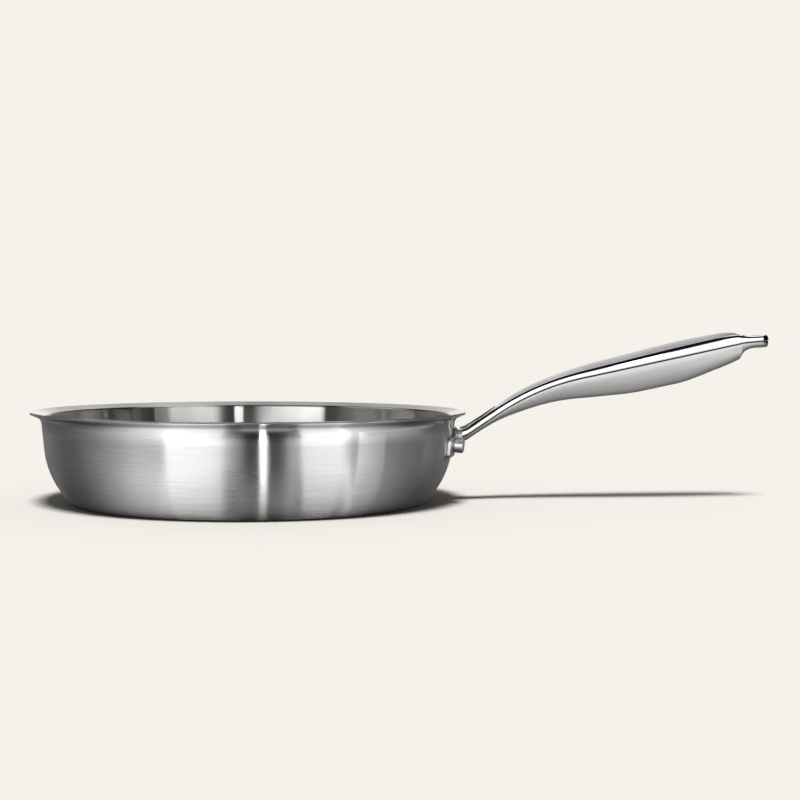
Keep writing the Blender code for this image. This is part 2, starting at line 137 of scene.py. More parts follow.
class PanBracketSettings(bpy.types.PropertyGroup):
    """Sizes of the bracket wrapped on the wall."""

    width: length("Width", "Length of the plate along the wall", 0.078)
    thickness: length("Thickness", "Thickness of the plate", 0.0020)
    seat_gap: length("Seat gap", "Gap under the plate and under the rivet heads", 0.0003)
    below: length("Below", "Plate below the rivets", 0.0080)
    above: length("Above", "Plate above the rivets, at its ends", 0.0048)
    middle_above: length("Above in the middle", "Plate above the rivets, at the stem", 0.0098)
    shoulder_start: length("Shoulder start", "Where the raised middle starts to fall", 0.0115)
    shoulder_end: length("Shoulder end", "Where the fall ends", 0.0205)
    corner: length("Corner radius", "Rounded corners of the plate", 0.0030)
    edge: length("Edge rounding", "Rounding of the plate's outer edge", 0.0007)
    root_length: length("Root length", "From the wall to the start of the shells", 0.0052)
    root_inset: length("Root inset", "How much smaller the root is than the shells", 0.0003)
    fillet: length("Fillet", "Fillet between the root and the plate", 0.0016)


class PanRivetSettings(bpy.types.PropertyGroup):
    """Sizes of the rivets."""

    drop: length("Drop", "Rivets below the rim", 0.0206)
    spacing: length("Spacing", "Between the two rivets, along the wall", 0.0505)
    boss_diameter: length("Boss diameter", "Across the outer head", 0.0098)
    boss_height: length("Boss height", "Height of the outer head", 0.0057)
    boss_rounding: length("Boss rounding", "Rounding of the outer head", 0.0016)
    head_diameter: length("Inner head diameter", "Across the inner head", 0.0130)
    head_height: length("Inner head height", "Height of the inner head", 0.0020)
    segments: whole_number("Segments", "Faces round a rivet", 64, 12)


class PanHandleSettings(bpy.types.PropertyGroup):
    """Sizes and colours of the handle."""

    seam_above_rivet: length("Seam above rivets", "Start of the seam line above the rivets", 0.0043)
    root_run: length("Root run", "Level part of the seam at the wall", 0.0072)
    root_bend: length("Root bend", "Radius of the first bend", 0.010)
    stem_slope: angle("Stem slope", "Rise of the stem", 34.0)
    stem_run: length("Stem run", "Length of the stem along X", 0.0476)
    shoulder: length("Shoulder", "Radius of the long bend", 0.157)
    grip_slope: angle("Grip slope", "Rise of the grip", 12.3)
    grip_run: length("Grip run", "Length of the grip along X", 0.1365)
    tab_bend: length("Tab bend", "Radius of the bend before the tab", 0.030)
    tab_slope: angle("Tab slope", "Rise of the end tab", 5.0)
    tab_run: length("Tab run", "Length of the end tab along X", 0.0167)
    tab_corner: length("Tab corners", "Rounded corners of the end tab", 0.0055)
    tab_nose: length("Tab nose", "Rounding of the tab's upper end", 0.0034)
    edge_bulge: length("Edge bulge", "Bulge of the polished edge", 0.0012)
    flat_share: number("Flat share", "Flat part of the polished edge's height", 0.52)
    belly_inset: length("Belly step", "Belly outside the line of the edge", 0.0005)
    seam_depth: length("Seam depth", "Depth of the crease between the shells", 0.0009)
    hole_diameter: length("Hole diameter", "Hanging hole", 0.0080)
    hole_from_end: length("Hole from end", "Hanging hole to the tip of the tab", 0.0090)
    hole_bevel: length("Hole bevel", "Bevel of the hanging hole", 0.0005)
    steps: whole_number("Steps", "Sections along the handle", 200, 40)
    polished: colour("Polished steel", "Edge of the handle, bracket and rivets", "#D2D2D2")
    blasted: colour("Blasted steel", "Top and belly of the grip", "#C8C8C7")


class PanStudioSettings(bpy.types.PropertyGroup):
    """The floor, the light and the camera."""

    floor_colour: colour("Floor", "Floor and background", "#F6F1EB")
    key_share: number("Key share", "Share of the floor's light from the key", 0.84)
    key_tilt: angle("Key tilt", "Tilt of the key light towards the camera", 22.8)
    key_softness: angle("Key softness", "Angle across the key light", 14.0)
    lens: number("Lens", "Focal length on a 36 mm wide sensor, in mm", 72.0)


def add_node(tree, kind, inputs=None, **settings):
    """Add a node with its settings, and set or link its inputs by name or place."""
    node = tree.nodes.new(kind)
    for key, value in settings.items():
        setattr(node, key, value)
    for key, value in (inputs or {}).items():
        if isinstance(value, bpy.types.NodeSocket):
            tree.links.new(value, node.inputs[key])
        else:
            node.inputs[key].default_value = value
    return node


def maths(tree, operation, *values):
    """Result of a Math node."""
    return add_node(tree, "ShaderNodeMath", dict(enumerate(values)), operation=operation).outputs[0]


def vectors(tree, operation, inputs):
    """Result of a Vector Math node."""
    node = add_node(tree, "ShaderNodeVectorMath", inputs, operation=operation)
    return node.outputs["Value" if operation == "LENGTH" else "Vector"]


def noise(tree, place, scale, detail):
    """Plain noise over a place."""
    inputs = {"Vector": place, "Scale": scale, "Detail": detail}
    return add_node(tree, "ShaderNodeTexNoise", inputs).outputs["Fac"]


def bump(tree, strength, distance, height):
    """Normals that follow a height."""
    inputs = {"Strength": strength, "Distance": distance, "Height": height}
    return add_node(tree, "ShaderNodeBump", inputs).outputs[0]


def mesh_value(tree, name):
    """A named value at the points of the mesh."""
    return add_node(tree, "ShaderNodeAttribute", attribute_name=name).outputs["Fac"]


def mixed(tree, kind, factor, first, second):
    """Mix of two numbers (FLOAT) or of two colours (RGBA)."""
    start, end = {"FLOAT": (2, 0), "RGBA": (6, 2)}[kind]
    inputs = {"Factor": factor, start: first, start + 1: second}
    return add_node(tree, "ShaderNodeMix", inputs, data_type=kind).outputs[end]


def new_material(name):
    """An empty node material with its output."""
    material = bpy.data.materials.new(name)
    material.use_nodes = True
    tree = material.node_tree
    tree.nodes.clear()
    return material, tree


def finish_material(tree, shader):
    """Link a shader to the material's output."""
    add_node(tree, "ShaderNodeOutputMaterial", {"Surface": shader.outputs[0]})


def bare_metal(tree, shade, roughness, normal=None):
    """Finish a material as bare metal."""
    inputs = {"Base Color": shade, "Metallic": 1.0, "Roughness": roughness}
    if normal is not None:
        inputs["Normal"] = normal
    finish_material(tree, add_node(tree, "ShaderNodeBsdfPrincipled", inputs))


def object_place(tree):
    """Object coordinates."""
    return add_node(tree, "ShaderNodeTexCoord").outputs["Object"]


def turned_streaks(tree, place, spacing, streak_length, seed):
    """Noise drawn out round the Z axis, as a tool leaves on a turning bowl."""
    # The streaks are this long at the wall's radius
    wall = 0.13
    x, y, z = add_node(tree, "ShaderNodeSeparateXYZ", {0: place}).outputs
    flat = add_node(tree, "ShaderNodeCombineXYZ", {"X": x, "Y": y}).outputs[0]
    unit = vectors(tree, "NORMALIZE", {0: flat})
    around = vectors(tree, "SCALE", {0: unit, "Scale": wall / streak_length})
    across = maths(tree, "MULTIPLY", z, 1.0 / spacing)
    lift = add_node(tree, "ShaderNodeCombineXYZ", {"Z": across}).outputs[0]
    out = maths(tree, "MULTIPLY", vectors(tree, "LENGTH", {0: flat}), 1.0 / spacing)
    inputs = {
        "Vector": vectors(tree, "ADD", {0: around, 1: lift}),
        "W": maths(tree, "ADD", out, seed),
        "Scale": 1.0,
        "Detail": 3.0,
        "Roughness": 0.6,
    }
    return add_node(tree, "ShaderNodeTexNoise", inputs, noise_dimensions="4D").outputs["Fac"]


def mapped(tree, value, start, end, low, high):
    """Map a value from one range on to another."""
    inputs = {"Value": value, "From Min": start, "From Max": end, "To Min": low, "To Max": high}
    return add_node(tree, "ShaderNodeMapRange", inputs).outputs["Result"]


def vary(tree, value, low, high):
    """Map a noise value, which is mostly between 0.3 and 0.7, on to a range."""
    return mapped(tree, value, 0.3, 0.7, low, high)


def tint(tree, code, factor):
    """A metal's colour, made lighter and darker by a factor."""
    return vectors(tree, "SCALE", {0: linear(code)[:3], "Scale": factor})


def brushed_metal(name, code, roughness, streak_length, contrast, seed, ease):
    """Sheet brushed round the bowl: fine lines round it, and highlights drawn out across the lines."""
    material, tree = new_material(name)
    place = object_place(tree)
    # Lines about 0.15 mm apart, drawn 0.5 mm apart so that they show
    spacing = 0.0005
    depth = 0.00002
    streak = turned_streaks(tree, place, spacing, streak_length, seed)
    # Handling leaves patches some 40 mm across that are a little duller
    dull = vary(tree, noise(tree, place, 25.0, 2.0), -0.02, 0.02)
    rough = maths(tree, "ADD", vary(tree, streak, roughness - 0.01, roughness + 0.01), dull)
    # The belt bears lightly under the lip, so the lines get finer between these two heights
    coarse_below = 0.0445
    fine_above = 0.0505
    height = add_node(tree, "ShaderNodeSeparateXYZ", {0: place}).outputs["Z"]
    eased = mapped(tree, height, coarse_below, fine_above, 1.0, ease)
    inputs = {
        "Color": tint(tree, code, vary(tree, streak, 1.0 - contrast, 1.0 + contrast * 0.6)),
        "Roughness": maths(tree, "MULTIPLY", rough, eased),
        "Anisotropy": 0.85,
        "Tangent": vectors(tree, "CROSS_PRODUCT", {0: (0.0, 0.0, 1.0), 1: place}),
        "Normal": bump(tree, 0.02, depth, streak),
    }
    finish_material(tree, add_node(tree, "ShaderNodeBsdfAnisotropic", inputs))
    return material


def rolled_aluminium(code):
    """Cut edge of soft rolled sheet: pale, evenly dull, with faint lines round the lip."""
    material, tree = new_material("rolled aluminium core")
    spacing = 0.0002
    streak_length = 0.02
    streak = turned_streaks(tree, object_place(tree), spacing, streak_length, 5.0)
    bare_metal(tree, tint(tree, code, vary(tree, streak, 0.92, 1.0)), vary(tree, streak, 0.50, 0.62))
    return material


def tumbled_metal(name, code):
    """Steel tumbled after forging: a soft sheen, with the faint haze and hairlines that the media leave."""
    material, tree = new_material(name)
    place = object_place(tree)
    haze = noise(tree, place, 60.0, 3.0)
    # Hairlines 0.3 mm apart that run along the handle
    run = add_node(tree, "ShaderNodeMapping", {"Vector": place, "Scale": (60.0, 3300.0, 3300.0)}).outputs[0]
    hair = bump(tree, 0.12, 0.00001, noise(tree, run, 1.0, 2.0))
    bare_metal(tree, tint(tree, code, vary(tree, haze, 0.97, 1.0)), vary(tree, haze, 0.34, 0.38), hair)
    return material


def handle_metal(name, polished, blasted):
    """Stamped steel, polished along the edge and bead blasted where the hand holds it.

    The attributes say where: "satin" is the blasted skin, a soft even sheen with fine grain,
    and "seam" the crease of the weld line between the shells, painted near black as painted shade in the
    crease.
    """
    material, tree = new_material(name)
    place = object_place(tree)
    satin = mesh_value(tree, "satin")
    # Blasting grit, drawn 0.4 mm coarse so that it shows
    grit = noise(tree, place, 2500.0, 2.0)
    wear = noise(tree, place, 45.0, 3.0)
    matt = maths(tree, "ADD", vary(tree, wear, 0.36, 0.42), vary(tree, grit, -0.02, 0.02))
    rough = mixed(tree, "FLOAT", satin, vary(tree, wear, 0.045, 0.07), matt)
    skin = tint(tree, blasted, vary(tree, grit, 0.96, 1.02))
    metal = mixed(tree, "RGBA", satin, linear(polished), skin)
    # Painted shade: the crease between the shells is painted near black
    seam_painted_shade = mixed(tree, "RGBA", mesh_value(tree, "seam"), metal, (0.02, 0.02, 0.02, 1.0))
    bare_metal(tree, seam_painted_shade, rough, bump(tree, 0.25, 0.00003, maths(tree, "MULTIPLY", grit, satin)))
    return material


def arc_values(start, end, steps):
    """Evenly spaced values from the start to the end."""
    return [start + (end - start) * i / steps for i in range(steps + 1)]


def arc(x, y, wide, tall, start, end, steps):
    """Points on a round or oval arc about (x, y), between two angles."""
    return [(x + wide * math.cos(t), y + tall * math.sin(t)) for t in arc_values(start, end, steps)]


def towards(start, end, shares):
    """Points on the straight line between two points."""
    wide = end[0] - start[0]
    tall = end[1] - start[1]
    return [(start[0] + wide * share, start[1] + tall * share) for share in shares]


def new_object(name, mesh):
    """An object in the scene's collection."""
    item = bpy.data.objects.new(name, mesh)
    bpy.context.scene.collection.objects.link(item)
    return item


def flatten(item):
    """Turn an object with live modifiers into a plain mesh."""
    graph = bpy.context.evaluated_depsgraph_get()
    mesh = bpy.data.meshes.new_from_object(item.evaluated_get(graph))
    item.modifiers.clear()
    old = item.data
    item.data = mesh
    bpy.data.meshes.remove(old)
    mesh.name = item.name


def combine(piece, other, operation):
    """Join a piece with another one, or cut it, for good."""
    modifier = piece.modifiers.new("combine", "BOOLEAN")
    modifier.operation = operation
    modifier.solver = "EXACT"
    modifier.object = other
    flatten(piece)


def hand_over(piece, nodes, material, degrees=35.0):
    """Shade a finished piece, give it its material and tie it to the frame."""
    piece.data.shade_smooth()
    piece.data.set_sharp_from_angle(angle=math.radians(degrees))
    piece.data.materials.clear()
    piece.data.materials.append(material)
    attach(piece, "root")
    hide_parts(*nodes)


def body_shape():
    """Key values of the bowl's outer surface, worked out from the rim down to the base."""
    bowl = bpy.context.scene.pan_bowl
    thickness = bowl.skin * 2 + bowl.core
    tip_z = bowl.height - thickness * math.cos(bowl.lip_slope)
    neck_r = bowl.rim_diameter / 2 - bowl.lip_reach
    neck_z = tip_z - bowl.lip_reach * math.tan(bowl.lip_slope)
    steep = math.pi / 2 - bowl.wall_draft
    arc_width = bowl.wall_radius * (math.sin(steep) - math.sin(bowl.knuckle_angle))
    arc_height = bowl.wall_radius * (math.cos(bowl.knuckle_angle) - math.cos(steep))
    knuckle_width = bowl.knuckle_radius * math.sin(bowl.knuckle_angle)
    knuckle_height = bowl.knuckle_radius * (1 - math.cos(bowl.knuckle_angle))
    straight_z = knuckle_height + arc_height
    straight_r = neck_r - (neck_z - straight_z) * math.tan(bowl.wall_draft)
    base_r = straight_r - arc_width - knuckle_width
    return tip_z, neck_r, neck_z, steep, straight_r, straight_z, base_r


def surface_points(depth):
    """Points (r, z) of the surface this deep inside the outer one, from the axis to the lip's tip."""
    bowl = bpy.context.scene.pan_bowl
    tip_z, neck_r, neck_z, steep, straight_r, straight_z, base_r = body_shape()
    down = -math.pi / 2
    points = [(base_r * share, depth) for share in (0.0, 0.1, 0.3, 0.5, 0.7, 0.85, 0.95)]
    radius = bowl.knuckle_radius - depth
    points += arc(base_r, bowl.knuckle_radius, radius, radius, down, down + bowl.knuckle_angle, 10)
    centre_r = straight_r - bowl.wall_radius * math.sin(steep)
    centre_z = straight_z + bowl.wall_radius * math.cos(steep)
    radius = bowl.wall_radius - depth
    points += arc(centre_r, centre_z, radius, radius, down + bowl.knuckle_angle, down + steep, 16)[1:]
    # The bend is wide under the lip and tight inside, so each depth has a bend of its own
    thickness = bowl.skin * 2 + bowl.core
    radius = bowl.lip_bend + (bowl.lip_crest - bowl.lip_bend) * depth / thickness
    half_turn = (steep - bowl.lip_slope) / 2
    lean = (steep + bowl.lip_slope) / 2
    inset = (radius - depth) / math.cos(half_turn)
    bend_r = neck_r + inset * math.sin(lean)
    bend_z = neck_z - inset * math.cos(lean)
    bend = arc(bend_r, bend_z, -radius, -radius, down + steep, down + bowl.lip_slope, 10)
    points += towards(points[-1], bend[0], (0.25, 0.5, 0.75, 0.92))
    points += bend
    # The lip is ground thinner from below towards its tip
    thin = thickness - (thickness - depth) * (1 - bowl.lip_share)
    thinnest = thickness * bowl.lip_share
    tip_r = bowl.rim_diameter / 2 - (thin - thinnest) * math.sin(bowl.lip_slope)
    tip = (tip_r, tip_z + thin * math.cos(bowl.lip_slope))
    return points + towards(points[-1], tip, (0.3, 0.65, 1.0))


def wall_radius_at(height):
    """Radius of the outer surface on the wall at a height."""
    points = surface_points(0.0)
    for (r0, z0), (r1, z1) in zip(points, points[1:]):
        if z0 <= height <= z1 and z1 > z0:
            return r0 + (r1 - r0) * (height - z0) / (z1 - z0)
    return points[-1][0]


def round_corner(before, corner, after, radius, steps=5):
    """Points of a rounded corner between two straight sides."""
    a = (Vector(before) - Vector(corner)).normalized()
    b = (Vector(after) - Vector(corner)).normalized()
    half = a.angle(b) / 2
    reach = radius / math.tan(half)
    centre = Vector(corner) + (a + b).normalized() * radius / math.sin(half)
    start = Vector(corner) + a * reach - centre
    end = Vector(corner) + b * reach - centre
    turn = start.angle_signed(end)
    points = []
    for share in arc_values(0.0, 1.0, steps):
        spin = -turn * share
        x = start.x * math.cos(spin) - start.y * math.sin(spin)
        y = start.x * math.sin(spin) + start.y * math.cos(spin)
        points.append((centre.x + x, centre.y + y))
    return points


def sheet_section(outer_depth, inner_depth, outer_rounding, inner_rounding):
    """Closed section of one layer: out along its outer side, round the lip's edge, back along the inner."""
    outer = surface_points(outer_depth)
    inner = surface_points(inner_depth)
    edge = round_corner(outer[-2], outer[-1], inner[-1], outer_rounding)
    edge += round_corner(outer[-1], inner[-1], inner[-2], inner_rounding)
    return outer[:-1] + edge + inner[:-1][::-1]


def group_tree(name, sockets):
    """A geometry node group with named inputs and one result, and the outputs of its input node."""
    tree = bpy.data.node_groups.new(name, "GeometryNodeTree")
    for label, kind in sockets:
        tree.interface.new_socket(label, in_out="INPUT", socket_type="NodeSocket" + kind)
    tree.interface.new_socket("Result", in_out="OUTPUT", socket_type="NodeSocketGeometry")
    return tree, add_node(tree, "NodeGroupInput").outputs


def end_group(tree, shape, finish):
    """Close a node group with real geometry and its material."""
    whole = add_node(tree, "GeometryNodeRealizeInstances", {"Geometry": shape.outputs[0]}).outputs[0]
    dressed = add_node(tree, "GeometryNodeSetMaterial", {"Geometry": whole, "Material": finish}).outputs[0]
    add_node(tree, "NodeGroupOutput", {0: dressed})
    return tree


def turn_about_z(tree, point, turn):
    """A point turned round the Z axis."""
    inputs = {"Vector": point, "Angle": turn}
    return add_node(tree, "ShaderNodeVectorRotate", inputs, rotation_type="Z_AXIS").outputs[0]


def turning_tree():
    """Geometry Nodes that turn a section round the Z axis: named inputs, welded seam and poles."""
    sockets = (("Section", "Geometry"), ("Segments", "Int"), ("Finish", "Material"))
    tree, given = group_tree("Turn a section", sockets)
    rows = add_node(tree, "GeometryNodeAttributeDomainSize", {0: given["Section"]}, component="MESH")
    columns = maths(tree, "ADD", given["Segments"], 1.0)
    size = {"Size X": 1.0, "Size Y": 1.0, "Vertices X": rows.outputs["Point Count"], "Vertices Y": columns}
    grid = add_node(tree, "GeometryNodeMeshGrid", size)
    index = add_node(tree, "GeometryNodeInputIndex").outputs[0]
    # The half keeps the division on the right side of a whole number
    ratio = maths(tree, "DIVIDE", index, columns)
    row = maths(tree, "FLOOR", maths(tree, "ADD", ratio, maths(tree, "DIVIDE", 0.5, columns)))
    column = maths(tree, "SUBTRACT", index, maths(tree, "MULTIPLY", row, columns))
    turn = maths(tree, "MULTIPLY", maths(tree, "DIVIDE", column, given["Segments"]), math.tau)
    place = add_node(tree, "GeometryNodeInputPosition").outputs[0]
    sample = {"Geometry": given["Section"], "Value": place, "Index": row}
    point = add_node(tree, "GeometryNodeSampleIndex", sample, data_type="FLOAT_VECTOR", domain="POINT")
    spun = {"Geometry": grid.outputs["Mesh"], "Position": turn_about_z(tree, point.outputs[0], turn)}
    moved = add_node(tree, "GeometryNodeSetPosition", spun)
    weld = {"Geometry": moved.outputs[0], "Distance": 0.000001}
    return end_group(tree, add_node(tree, "GeometryNodeMergeByDistance", weld), given["Finish"])


def turned_piece(name, points, tree, values):
    """A closed piece that a node tree turns from a section (r, z), with the tree's inputs set by name."""
    mesh = bpy.data.meshes.new(name)
    mesh.from_pydata([(r, 0.0, z) for r, z in points], [(i, i + 1) for i in range(len(points) - 1)], [])
    item = new_object(name, mesh)
    modifier = item.modifiers.new(tree.name, "NODES")
    modifier.node_group = tree
    for socket in tree.interface.items_tree:
        if socket.name in values:
            modifier[socket.identifier] = values[socket.name]
    flatten(item)
    face_outwards(item)
    return item


def face_outwards(item):
    """Recalculate the normals of a closed mesh."""
    bm = bmesh.new()
    bm.from_mesh(item.data)
    bmesh.ops.recalc_face_normals(bm, faces=bm.faces[:])
    bm.to_mesh(item.data)
    bm.free()


class PAN_OT_add_bowl(bpy.types.Operator):
    """Add the three bonded layers of the pressed bowl."""

    bl_idname = "frying_pan.add_bowl"
    bl_label = "Add Bowl"

    def execute(self, context):
        bowl = context.scene.pan_bowl
        steel = brushed_metal("brushed 430 steel", bowl.steel, 0.25, 0.030, 0.10, 0.0, 0.45)
        titanium = brushed_metal("brushed pure titanium", bowl.titanium, 0.17, 0.040, 0.08, 40.0, 1.0)
        aluminium = rolled_aluminium(bowl.aluminium)
        tree = turning_tree()
        core = bowl.skin
        inner = core + bowl.core
        deepest = inner + bowl.skin
        ground = bowl.edge_rounding
        cut = 0.00004
        layers = (
            ("bowl_steel_skin", "pan_outer_ply", 0.0, core, ground, cut, "brushed_steel", steel),
            ("bowl_aluminium_core", "pan_core_ply", core, inner, cut, cut, "aluminium", aluminium),
            ("bowl_titanium_skin", "pan_inner_ply", inner, deepest, cut, ground, "titanium", titanium),
        )
        for name, node, outside, inside, outer_round, inner_round, slot, material in layers:
            section = sheet_section(outside, inside, outer_round, inner_round)
            piece = turned_piece(name, section, tree, {"Segments": bowl.segments, "Finish": material})
            hand_over(piece, [node], material)
        return {"FINISHED"}


def rivet_height():
    """Height of the rivets' axes above the base."""
    scene = bpy.context.scene
    return scene.pan_bowl.height - scene.pan_rivets.drop


def rivet_section():
    """Inner low-dome head, shank and tall outer boss, from points (r, z) along the rivet's axis."""
    scene = bpy.context.scene
    rivets = scene.pan_rivets
    plate = scene.pan_bracket
    bowl = scene.pan_bowl
    head_r = rivets.head_diameter / 2
    seat_in = -(bowl.skin * 2 + bowl.core + plate.seat_gap * 0.4)
    seat_out = plate.seat_gap + plate.thickness + plate.seat_gap * 0.4
    boss_r = rivets.boss_diameter / 2
    boss_top = plate.seat_gap * 2 + plate.thickness + rivets.boss_height
    rim = 0.0005
    under = seat_in + rim * 0.3
    dome = rivets.head_height - rim
    shank = head_r * 0.4
    turn = rivets.boss_rounding
    return (
        arc(0.0, seat_in - rim, head_r, -dome, math.pi / 2, 0.0, 12)
        + [(head_r, under), (shank, under), (shank, seat_out), (boss_r, seat_out)]
        + arc(boss_r - turn, boss_top - turn, turn, turn, 0.0, math.pi / 2, 12)
        + [(boss_r * 0.35, boss_top), (0.0, boss_top)]
    )


def rivet_tree(turning):
    """Geometry Nodes that turn a rivet's section and set one at each end of an arc on the wall."""
    sockets = [("Section", "Geometry"), ("Segments", "Int"), ("Finish", "Material"), ("Count", "Int")]
    sockets += [(name, "Float") for name in ("Wall Radius", "Height", "Arc", "Lean")]
    tree, given = group_tree("Set rivets on a wall", sockets)
    passed = {name: given[name] for name in ("Section", "Segments", "Finish")}
    rivet = add_node(tree, "GeometryNodeGroup", passed, node_tree=turning)
    line = add_node(tree, "GeometryNodeMeshLine", {"Count": given["Count"], "Offset": (0.0, 0.0, 0.0)})
    index = add_node(tree, "GeometryNodeInputIndex").outputs[0]
    share = maths(tree, "DIVIDE", index, maths(tree, "SUBTRACT", given["Count"], 1.0))
    along = maths(tree, "MULTIPLY", maths(tree, "SUBTRACT", share, 0.5), given["Arc"])
    turn = maths(tree, "DIVIDE", along, given["Wall Radius"])
    start = add_node(tree, "ShaderNodeCombineXYZ", {"X": given["Wall Radius"], "Z": given["Height"]})
    seats = {"Geometry": line.outputs[0], "Position": turn_about_z(tree, start.outputs[0], turn)}
    seats = add_node(tree, "GeometryNodeSetPosition", seats).outputs[0]
    tilt = maths(tree, "ADD", given["Lean"], math.pi / 2)
    spin = add_node(tree, "ShaderNodeCombineXYZ", {"Y": tilt, "Z": turn}).outputs[0]
    placed = {"Points": seats, "Instance": rivet.outputs[0], "Rotation": spin}
    return end_group(tree, add_node(tree, "GeometryNodeInstanceOnPoints", placed), given["Finish"])


class PAN_OT_add_rivets(bpy.types.Operator):
    """Add the two rivets that hold the bracket."""

    bl_idname = "frying_pan.add_rivets"
    bl_label = "Add Rivets"

    def execute(self, context):
        scene = context.scene
        steel = tumbled_metal("tumbled 304 steel rivet", scene.pan_handle.polished)
        height = rivet_height()
        values = {
            "Segments": scene.pan_rivets.segments,
            "Count": 2,
            "Wall Radius": wall_radius_at(height),
            "Height": height,
            "Arc": scene.pan_rivets.spacing,
            "Lean": scene.pan_bowl.wall_draft,
            "Finish": steel,
        }
        piece = turned_piece("rivets", rivet_section(), rivet_tree(turning_tree()), values)
        hand_over(piece, ["rivet_front", "rivet_rear"], steel)
        return {"FINISHED"}


def smooth_step(value):
    """An S-curve from 0 to 1."""
    value = min(1.0, max(0.0, value))
    return value * value * (3 - 2 * value)


def loft(name, sections, marks=None):
    """A closed mesh through a row of point rings, capped at both ends, with named values at its points."""
    mesh = bpy.data.meshes.new(name)
    count = len(sections[0])
    points = [point for section in sections for point in section]
    faces = []
    for row in range(len(sections) - 1):
        for i in range(count):
            j = (i + 1) % count
            start = row * count
            faces.append((start + i, start + j, start + count + j, start + count + i))
    faces.append(tuple(range(count))[::-1])
    last = (len(sections) - 1) * count
    faces.append(tuple(range(last, last + count)))
    mesh.from_pydata(points, [], faces)
    for label, values in (marks or {}).items():
        attribute = mesh.attributes.new(label, "FLOAT", "POINT")
        attribute.data.foreach_set("value", [value for row in values for value in row])
    item = new_object(name, mesh)
    face_outwards(item)
    return item


def plate_limits(along):
    """Lowest and highest point of the plate at a distance along the wall from its middle."""
    plate = bpy.context.scene.pan_bracket
    along = abs(along)
    fall = smooth_step((along - plate.shoulder_start) / (plate.shoulder_end - plate.shoulder_start))
    drop = fall * (plate.middle_above - plate.above)
    past = max(0.0, along - (plate.width / 2 - plate.corner))
    inset = plate.corner - math.sqrt(max(0.0, plate.corner ** 2 - past ** 2))
    height = rivet_height()
    return height - plate.below + inset, height + plate.middle_above - drop - inset


def plate_sections():
    """Sections of the plate in upright planes through the Z axis, with rounded outer edges."""
    plate = bpy.context.scene.pan_bracket
    half = plate.width / 2
    flat = half - plate.corner
    places = arc_values(-flat, flat, 60)
    turn = [flat + plate.corner * math.sin(value) for value in arc_values(0.0, math.radians(80), 12)[1:]]
    places = [-value for value in turn[::-1]] + places + turn
    reference = wall_radius_at(rivet_height())
    sections = []
    for place in places:
        low, high = plate_limits(place)
        near_end = max(0.0, abs(place) - (half - plate.edge)) / plate.edge
        depth = plate.thickness - plate.edge * (1 - math.sqrt(max(0.0, 1 - min(1.0, near_end) ** 2)))
        edge = min(plate.edge, (high - low) / 3)
        face = depth - edge
        outline = [(0.0, height) for height in arc_values(low, high, 10)]
        outline += arc(face, high - edge, edge, edge, math.pi / 2, 0.0, 5)
        outline += [(depth, height) for height in arc_values(high - edge, low + edge, 10)[1:-1]]
        outline += arc(face, low + edge, edge, edge, 0.0, -math.pi / 2, 5)
        section = []
        for out, height in outline:
            radius = wall_radius_at(height) + plate.seat_gap * 0.5 + out
            spin = place / reference
            section.append((radius * math.cos(spin), radius * math.sin(spin), height))
        sections.append(section)
    return sections


def root_sections():
    """Sections of the root, from inside the plate to the start of the shells, with a fillet at the plate."""
    plate = bpy.context.scene.pan_bracket
    start = plate.seat_gap + plate.thickness * 0.5
    surface = plate.seat_gap + plate.thickness
    sunk = 0.0002
    into_shells = 0.0006
    sections = []
    for reach in [start] + arc_values(surface - sunk, plate.root_length + into_shells, 14):
        fill = 1 - min(1.0, max(0.0, (reach - surface) / plate.fillet))
        grow = plate.fillet * (1 - math.sqrt(max(0.0, 1 - fill ** 2))) - plate.root_inset
        half, edge, crown, belly = section_sizes(reach)
        ring = []
        for across, up in arc(0.0, 0.0, 1.0, 1.0, 0.0, math.tau, 48)[:-1]:
            tall = edge + crown * 0.5 if up > 0 else belly
            # Squarer above the seam than below it
            power = 0.62 if up > 0 else 0.85
            y = math.copysign(abs(across) ** power, across) * (half + grow)
            z = math.copysign(abs(up) ** power, up) * (tall + grow)
            ring.append((y, z))
        sections.append(place_section(reach, ring))
    return sections


class PAN_OT_add_bracket(bpy.types.Operator):
    """Add the bracket: a plate wrapped on the wall with the root that carries the handle."""

    bl_idname = "frying_pan.add_bracket"
    bl_label = "Add Bracket"

    def execute(self, context):
        piece = loft("bracket", plate_sections())
        root = loft("bracket_root", root_sections())
        combine(piece, root, "UNION")
        bpy.data.objects.remove(root, do_unlink=True)
        steel = tumbled_metal("tumbled 304 steel bracket", context.scene.pan_handle.polished)
        hand_over(piece, ["handle_bracket"], steel)
        return {"FINISHED"}


def wall_reach():
    """Where the handle's reach is measured from: the outer wall at the height of the seam."""
    return wall_radius_at(rivet_height() + bpy.context.scene.pan_handle.seam_above_rivet)


def path_corners():
    """Corners of the seam line as (reach, height), before they are rounded."""
    handle = bpy.context.scene.pan_handle
    corners = [(0.0, rivet_height() + handle.seam_above_rivet)]
    runs = (
        (handle.root_run, 0.0),
        (handle.stem_run, handle.stem_slope),
        (handle.grip_run, handle.grip_slope),
        (handle.tab_run, handle.tab_slope),
    )
    for run, slope in runs:
        x, z = corners[-1]
        corners.append((x + run, z + run * math.tan(slope)))
    return corners


def handle_reach():
    """Reach of the handle's tip."""
    return path_corners()[-1][0]


def seam_line():
    """The seam line with a bend at each corner, as a fine row of points."""
    handle = bpy.context.scene.pan_handle
    corners = [Vector(point) for point in path_corners()]
    radii = (handle.root_bend, handle.shoulder, handle.tab_bend)
    points = [corners[0]]
    for before, corner, after, radius in zip(corners, corners[1:], corners[2:], radii):
        back = (before - corner).normalized()
        away = (after - corner).normalized()
        reach = radius * math.tan((math.pi - back.angle(away)) / 2)
        start = corner + back * reach
        end = corner + away * reach
        for t in arc_values(0.0, 1.0, 40):
            points.append(start * (1 - t) ** 2 + corner * 2 * t * (1 - t) + end * t ** 2)
    points.append(corners[-1])
    return points


# The seam line as it was last worked out
SEAM = []


